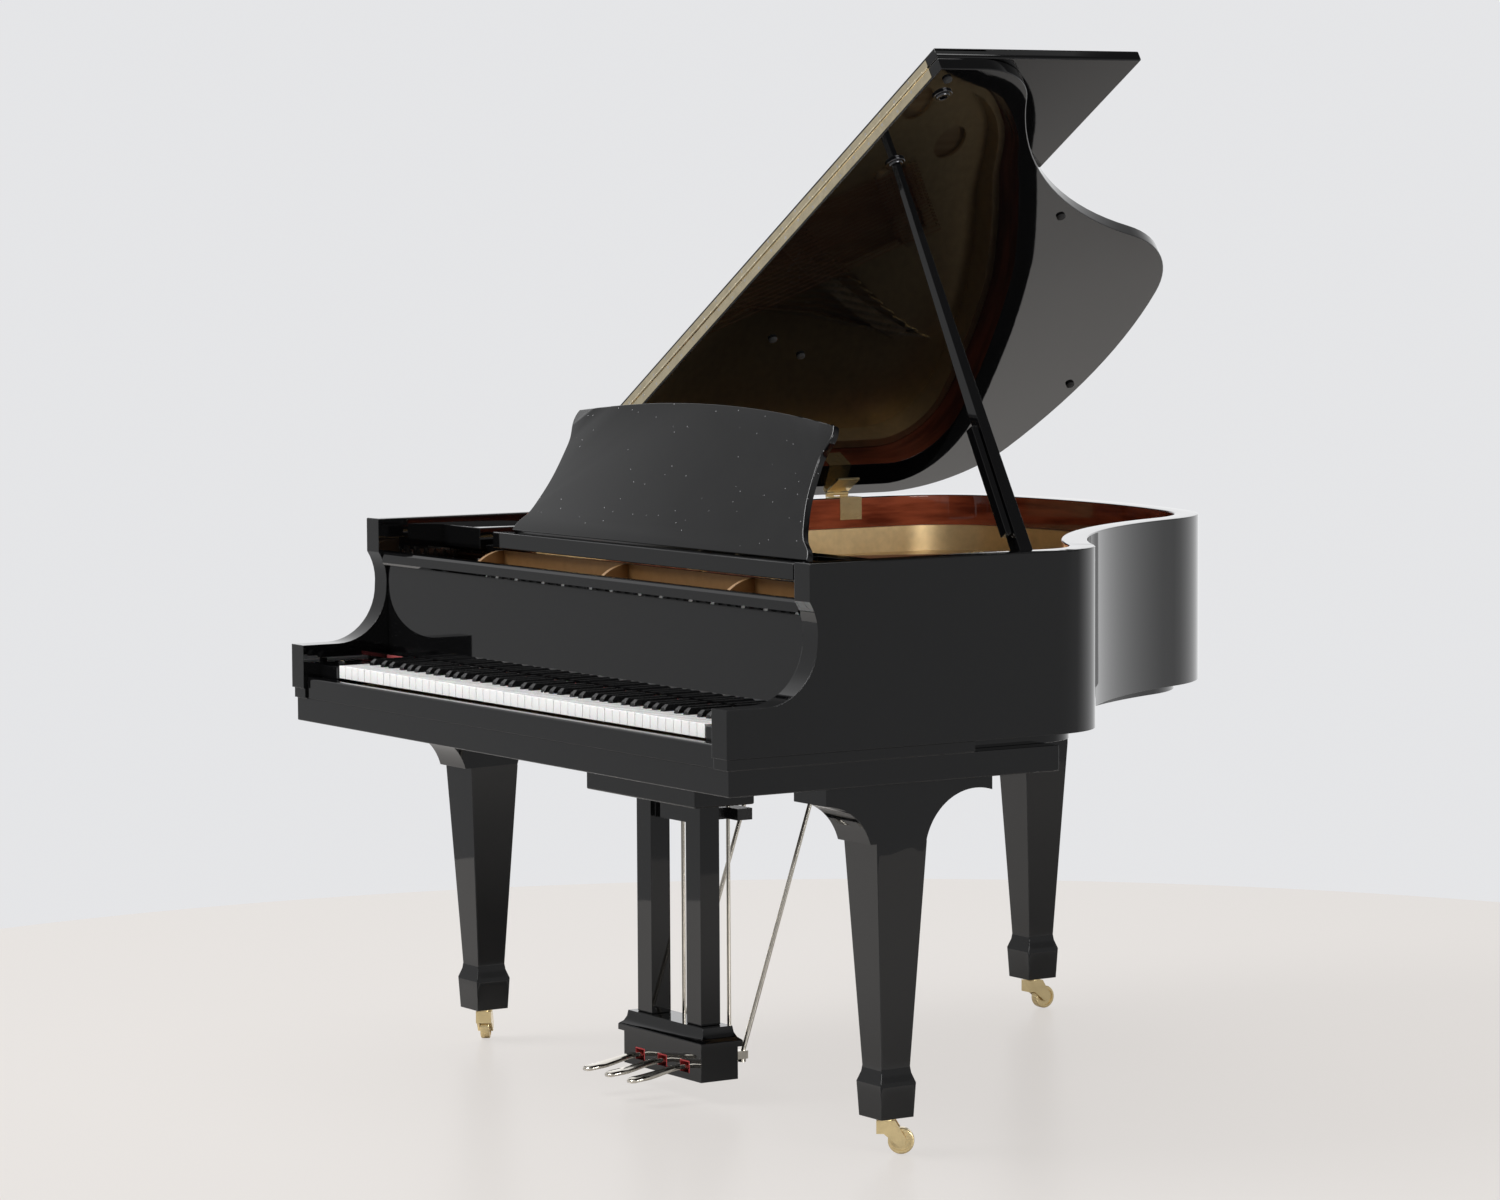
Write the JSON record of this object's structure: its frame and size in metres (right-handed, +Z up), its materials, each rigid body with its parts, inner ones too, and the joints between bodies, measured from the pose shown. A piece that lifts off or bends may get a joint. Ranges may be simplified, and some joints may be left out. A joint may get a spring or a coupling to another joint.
{
  "type": "baby grand piano",
  "caption": "Small black grand piano on three casters, its lid held open by a prop, front flap folded back, music desk raised and fallboard open.",
  "frame": {"origin": "middle of the footprint box on the floor, with the lid open as at rest", "axes": "+X towards the treble end of the keyboard, +Y from the keyboard to the tail, +Z up"},
  "size_m": [1.4912, 1.5362, 1.7929],
  "materials": {
    "black_lacquer": "polished black lacquer",
    "mahogany": "satin red-brown veneer",
    "spruce": "clear satin spruce",
    "beech": "plain maple and beech",
    "gold_iron": "gold bronze paint",
    "brass": "polished",
    "steel_wire": "bright wire",
    "copper_wire": "copper wound wire",
    "ivory_white": "glossy off-white",
    "ebony": "satin black",
    "felt": "white wool felt",
    "red_felt": "red wool felt",
    "dark_rubber": "dull black"
  },
  "bodies": {
    "case": {"outer_rim": "black_lacquer", "inner_rim": "mahogany", "key_bed": "black_lacquer", "soundboard": "spruce", "back_braces": "spruce", "iron_plate": "gold_iron", "pin_block": "beech", "tuning_pins": "steel_wire", "bass_strings": "copper_wire", "treble_strings": "steel_wire", "bridges": "beech", "dampers": "black_lacquer", "hammers": "felt", "action_rails": "beech", "key_frame": "beech", "key_blocks": "black_lacquer", "key_slip": "black_lacquer", "white_keys": "ivory_white", "black_keys": "ebony", "name_felt": "red_felt", "rack_cleats": "black_lacquer", "lid_hinges_case": "brass", "prop_bracket": "brass", "leg_left": "black_lacquer", "leg_right": "black_lacquer", "leg_rear": "black_lacquer", "lyre_frame": "black_lacquer", "pedal_box": "black_lacquer", "lyre_braces": "brass", "trap_work": "black_lacquer"},
    "fallboard": {"fallboard": "black_lacquer"},
    "rack": {"music_rack": "black_lacquer"},
    "desk": {"music_desk": "black_lacquer"},
    "strut": {"desk_strut": "brass"},
    "lid": {"lid_main": "black_lacquer", "flap_hinge_lid_leaf": "brass", "lid_hinges_lid": "brass", "lid_buttons": "dark_rubber", "prop_cups": "dark_rubber"},
    "flap": {"lid_flap": "black_lacquer", "flap_hinge_flap_leaf": "brass"},
    "prop": {"long_prop": "black_lacquer"},
    "half_prop": {"short_prop": "black_lacquer"},
    "pedal_left": {"pedal_left": "brass"},
    "rod_left": {"pedal_rod_left": "brass"},
    "pedal_middle": {"pedal_middle": "brass"},
    "rod_middle": {"pedal_rod_middle": "brass"},
    "pedal_right": {"pedal_right": "brass"},
    "rod_right": {"pedal_rod_right": "brass"},
    "fork_left": {"caster_fork_left": "brass"},
    "wheel_left": {"caster_wheel_left": "brass"},
    "fork_right": {"caster_fork_right": "brass"},
    "wheel_right": {"caster_wheel_right": "brass"},
    "fork_rear": {"caster_fork_rear": "brass"},
    "wheel_rear": {"caster_wheel_rear": "brass"},
    "key_c4": {"key_c4": "ivory_white"},
    "key_c_sharp4": {"key_c_sharp4": "ebony"},
    "key_d4": {"key_d4": "ivory_white"},
    "key_d_sharp4": {"key_d_sharp4": "ebony"},
    "key_e4": {"key_e4": "ivory_white"}
  },
  "joints": [
    {"name": "lid_hinge", "type": "hinge", "parent": "case", "child": "lid", "pos_m": [-0.71337, 0.16638, 0.979], "axis": [0, -1, 0], "range_deg": [0, 28]},
    {"name": "flap_hinge", "type": "hinge", "parent": "lid", "child": "flap", "pos_m": [-0.13211, -0.20812, 1.36991], "axis": [0.8499, 0, 0.527], "range_deg": [0, 180]},
    {"name": "prop_fold", "type": "hinge", "parent": "case", "child": "prop", "pos_m": [0.68113, -0.14612, 0.9585], "axis": [0, 0.9998, -0.0202], "range_deg": [-59.32, 0]},
    {"name": "half_prop_swing", "type": "hinge", "parent": "prop", "child": "half_prop", "pos_m": [0.65665, -0.16588, 1.00019], "axis": [0.8601, 0.0103, 0.5101], "range_deg": [0, 10]},
    {"name": "rack_slide", "type": "slide", "parent": "case", "child": "rack", "axis": [0, 1, 0], "range_m": [0, 0.1]},
    {"name": "desk_tilt", "type": "hinge", "parent": "rack", "child": "desk", "pos_m": [0.01763, -0.44288, 0.95359], "axis": [1, 0, 0], "range_deg": [-65, 0]},
    {"name": "strut_swing", "type": "hinge", "parent": "desk", "child": "strut", "pos_m": [0.01763, -0.3797, 1.06201], "axis": [1, 0, 0], "range_deg": [0, 130]},
    {"name": "fallboard_hinge", "type": "hinge", "parent": "case", "child": "fallboard", "pos_m": [0.01763, -0.57912, 0.747], "axis": [-1, 0, 0], "range_deg": [-90, 0]},
    {"name": "pedal_left_hinge", "type": "hinge", "parent": "case", "child": "pedal_left", "pos_m": [-0.05537, -0.39612, 0.0605], "axis": [1, 0, 0], "range_deg": [0, 7.4], "stiffness_Nm_per_rad": 20, "springref_deg": -5.73},
    {"name": "rod_left_lift", "type": "slide", "parent": "case", "child": "rod_left", "axis": [0, 0, 1], "range_m": [0, 0.0066]},
    {"name": "pedal_middle_hinge", "type": "hinge", "parent": "case", "child": "pedal_middle", "pos_m": [0.01763, -0.39612, 0.0605], "axis": [1, 0, 0], "range_deg": [0, 7.4], "stiffness_Nm_per_rad": 20, "springref_deg": -5.73},
    {"name": "rod_middle_lift", "type": "slide", "parent": "case", "child": "rod_middle", "axis": [0, 0, 1], "range_m": [0, 0.0066]},
    {"name": "pedal_right_hinge", "type": "hinge", "parent": "case", "child": "pedal_right", "pos_m": [0.09063, -0.39612, 0.0605], "axis": [1, 0, 0], "range_deg": [0, 7.4], "stiffness_Nm_per_rad": 20, "springref_deg": -5.73},
    {"name": "rod_right_lift", "type": "slide", "parent": "case", "child": "rod_right", "axis": [0, 0, 1], "range_m": [0, 0.0066]},
    {"name": "caster_left_swivel", "type": "hinge", "parent": "case", "child": "fork_left", "pos_m": [-0.63617, -0.41672, 0.055], "axis": [0, 0, 1], "continuous": true},
    {"name": "wheel_left_roll", "type": "hinge", "parent": "fork_left", "child": "wheel_left", "pos_m": [-0.65558, -0.40261, 0.0215], "axis": [-0.5878, -0.809, 0], "continuous": true},
    {"name": "caster_right_swivel", "type": "hinge", "parent": "case", "child": "fork_right", "pos_m": [0.67143, -0.41672, 0.055], "axis": [0, 0, 1], "continuous": true},
    {"name": "wheel_right_roll", "type": "hinge", "parent": "fork_right", "child": "wheel_right", "pos_m": [0.68554, -0.3973, 0.0215], "axis": [-0.809, 0.5878, 0], "continuous": true},
    {"name": "caster_rear_swivel", "type": "hinge", "parent": "case", "child": "fork_rear", "pos_m": [-0.34567, 0.62688, 0.055], "axis": [0, 0, 1], "continuous": true},
    {"name": "wheel_rear_roll", "type": "hinge", "parent": "fork_rear", "child": "wheel_rear", "pos_m": [-0.34567, 0.65088, 0.0215], "axis": [-1, 0, 0], "continuous": true},
    {"name": "key_c4_dip", "type": "hinge", "parent": "case", "child": "key_c4", "pos_m": [-0.04112, -0.51412, 0.6945], "axis": [1, 0, 0], "range_deg": [0, 2.6], "stiffness_Nm_per_rad": 2, "springref_deg": -5.16},
    {"name": "key_c_sharp4_dip", "type": "hinge", "parent": "case", "child": "key_c_sharp4", "pos_m": [-0.03187, -0.51412, 0.6945], "axis": [1, 0, 0], "range_deg": [0, 2.6], "stiffness_Nm_per_rad": 2, "springref_deg": -5.16},
    {"name": "key_d4_dip", "type": "hinge", "parent": "case", "child": "key_d4", "pos_m": [-0.01762, -0.51412, 0.6945], "axis": [1, 0, 0], "range_deg": [0, 2.6], "stiffness_Nm_per_rad": 2, "springref_deg": -5.16},
    {"name": "key_d_sharp4_dip", "type": "hinge", "parent": "case", "child": "key_d_sharp4", "pos_m": [-0.00337, -0.51412, 0.6945], "axis": [1, 0, 0], "range_deg": [0, 2.6], "stiffness_Nm_per_rad": 2, "springref_deg": -5.16},
    {"name": "key_e4_dip", "type": "hinge", "parent": "case", "child": "key_e4", "pos_m": [0.00588, -0.51412, 0.6945], "axis": [1, 0, 0], "range_deg": [0, 2.6], "stiffness_Nm_per_rad": 2, "springref_deg": -5.16}
  ],
  "couplings": [
    {"joint": "strut_swing", "follows": "desk_tilt", "ratio": -2},
    {"joint": "rod_left_lift", "follows": "pedal_left_hinge", "m_per_rad": 0.0505},
    {"joint": "rod_middle_lift", "follows": "pedal_middle_hinge", "m_per_rad": 0.0505},
    {"joint": "rod_right_lift", "follows": "pedal_right_hinge", "m_per_rad": 0.0505}
  ]
}
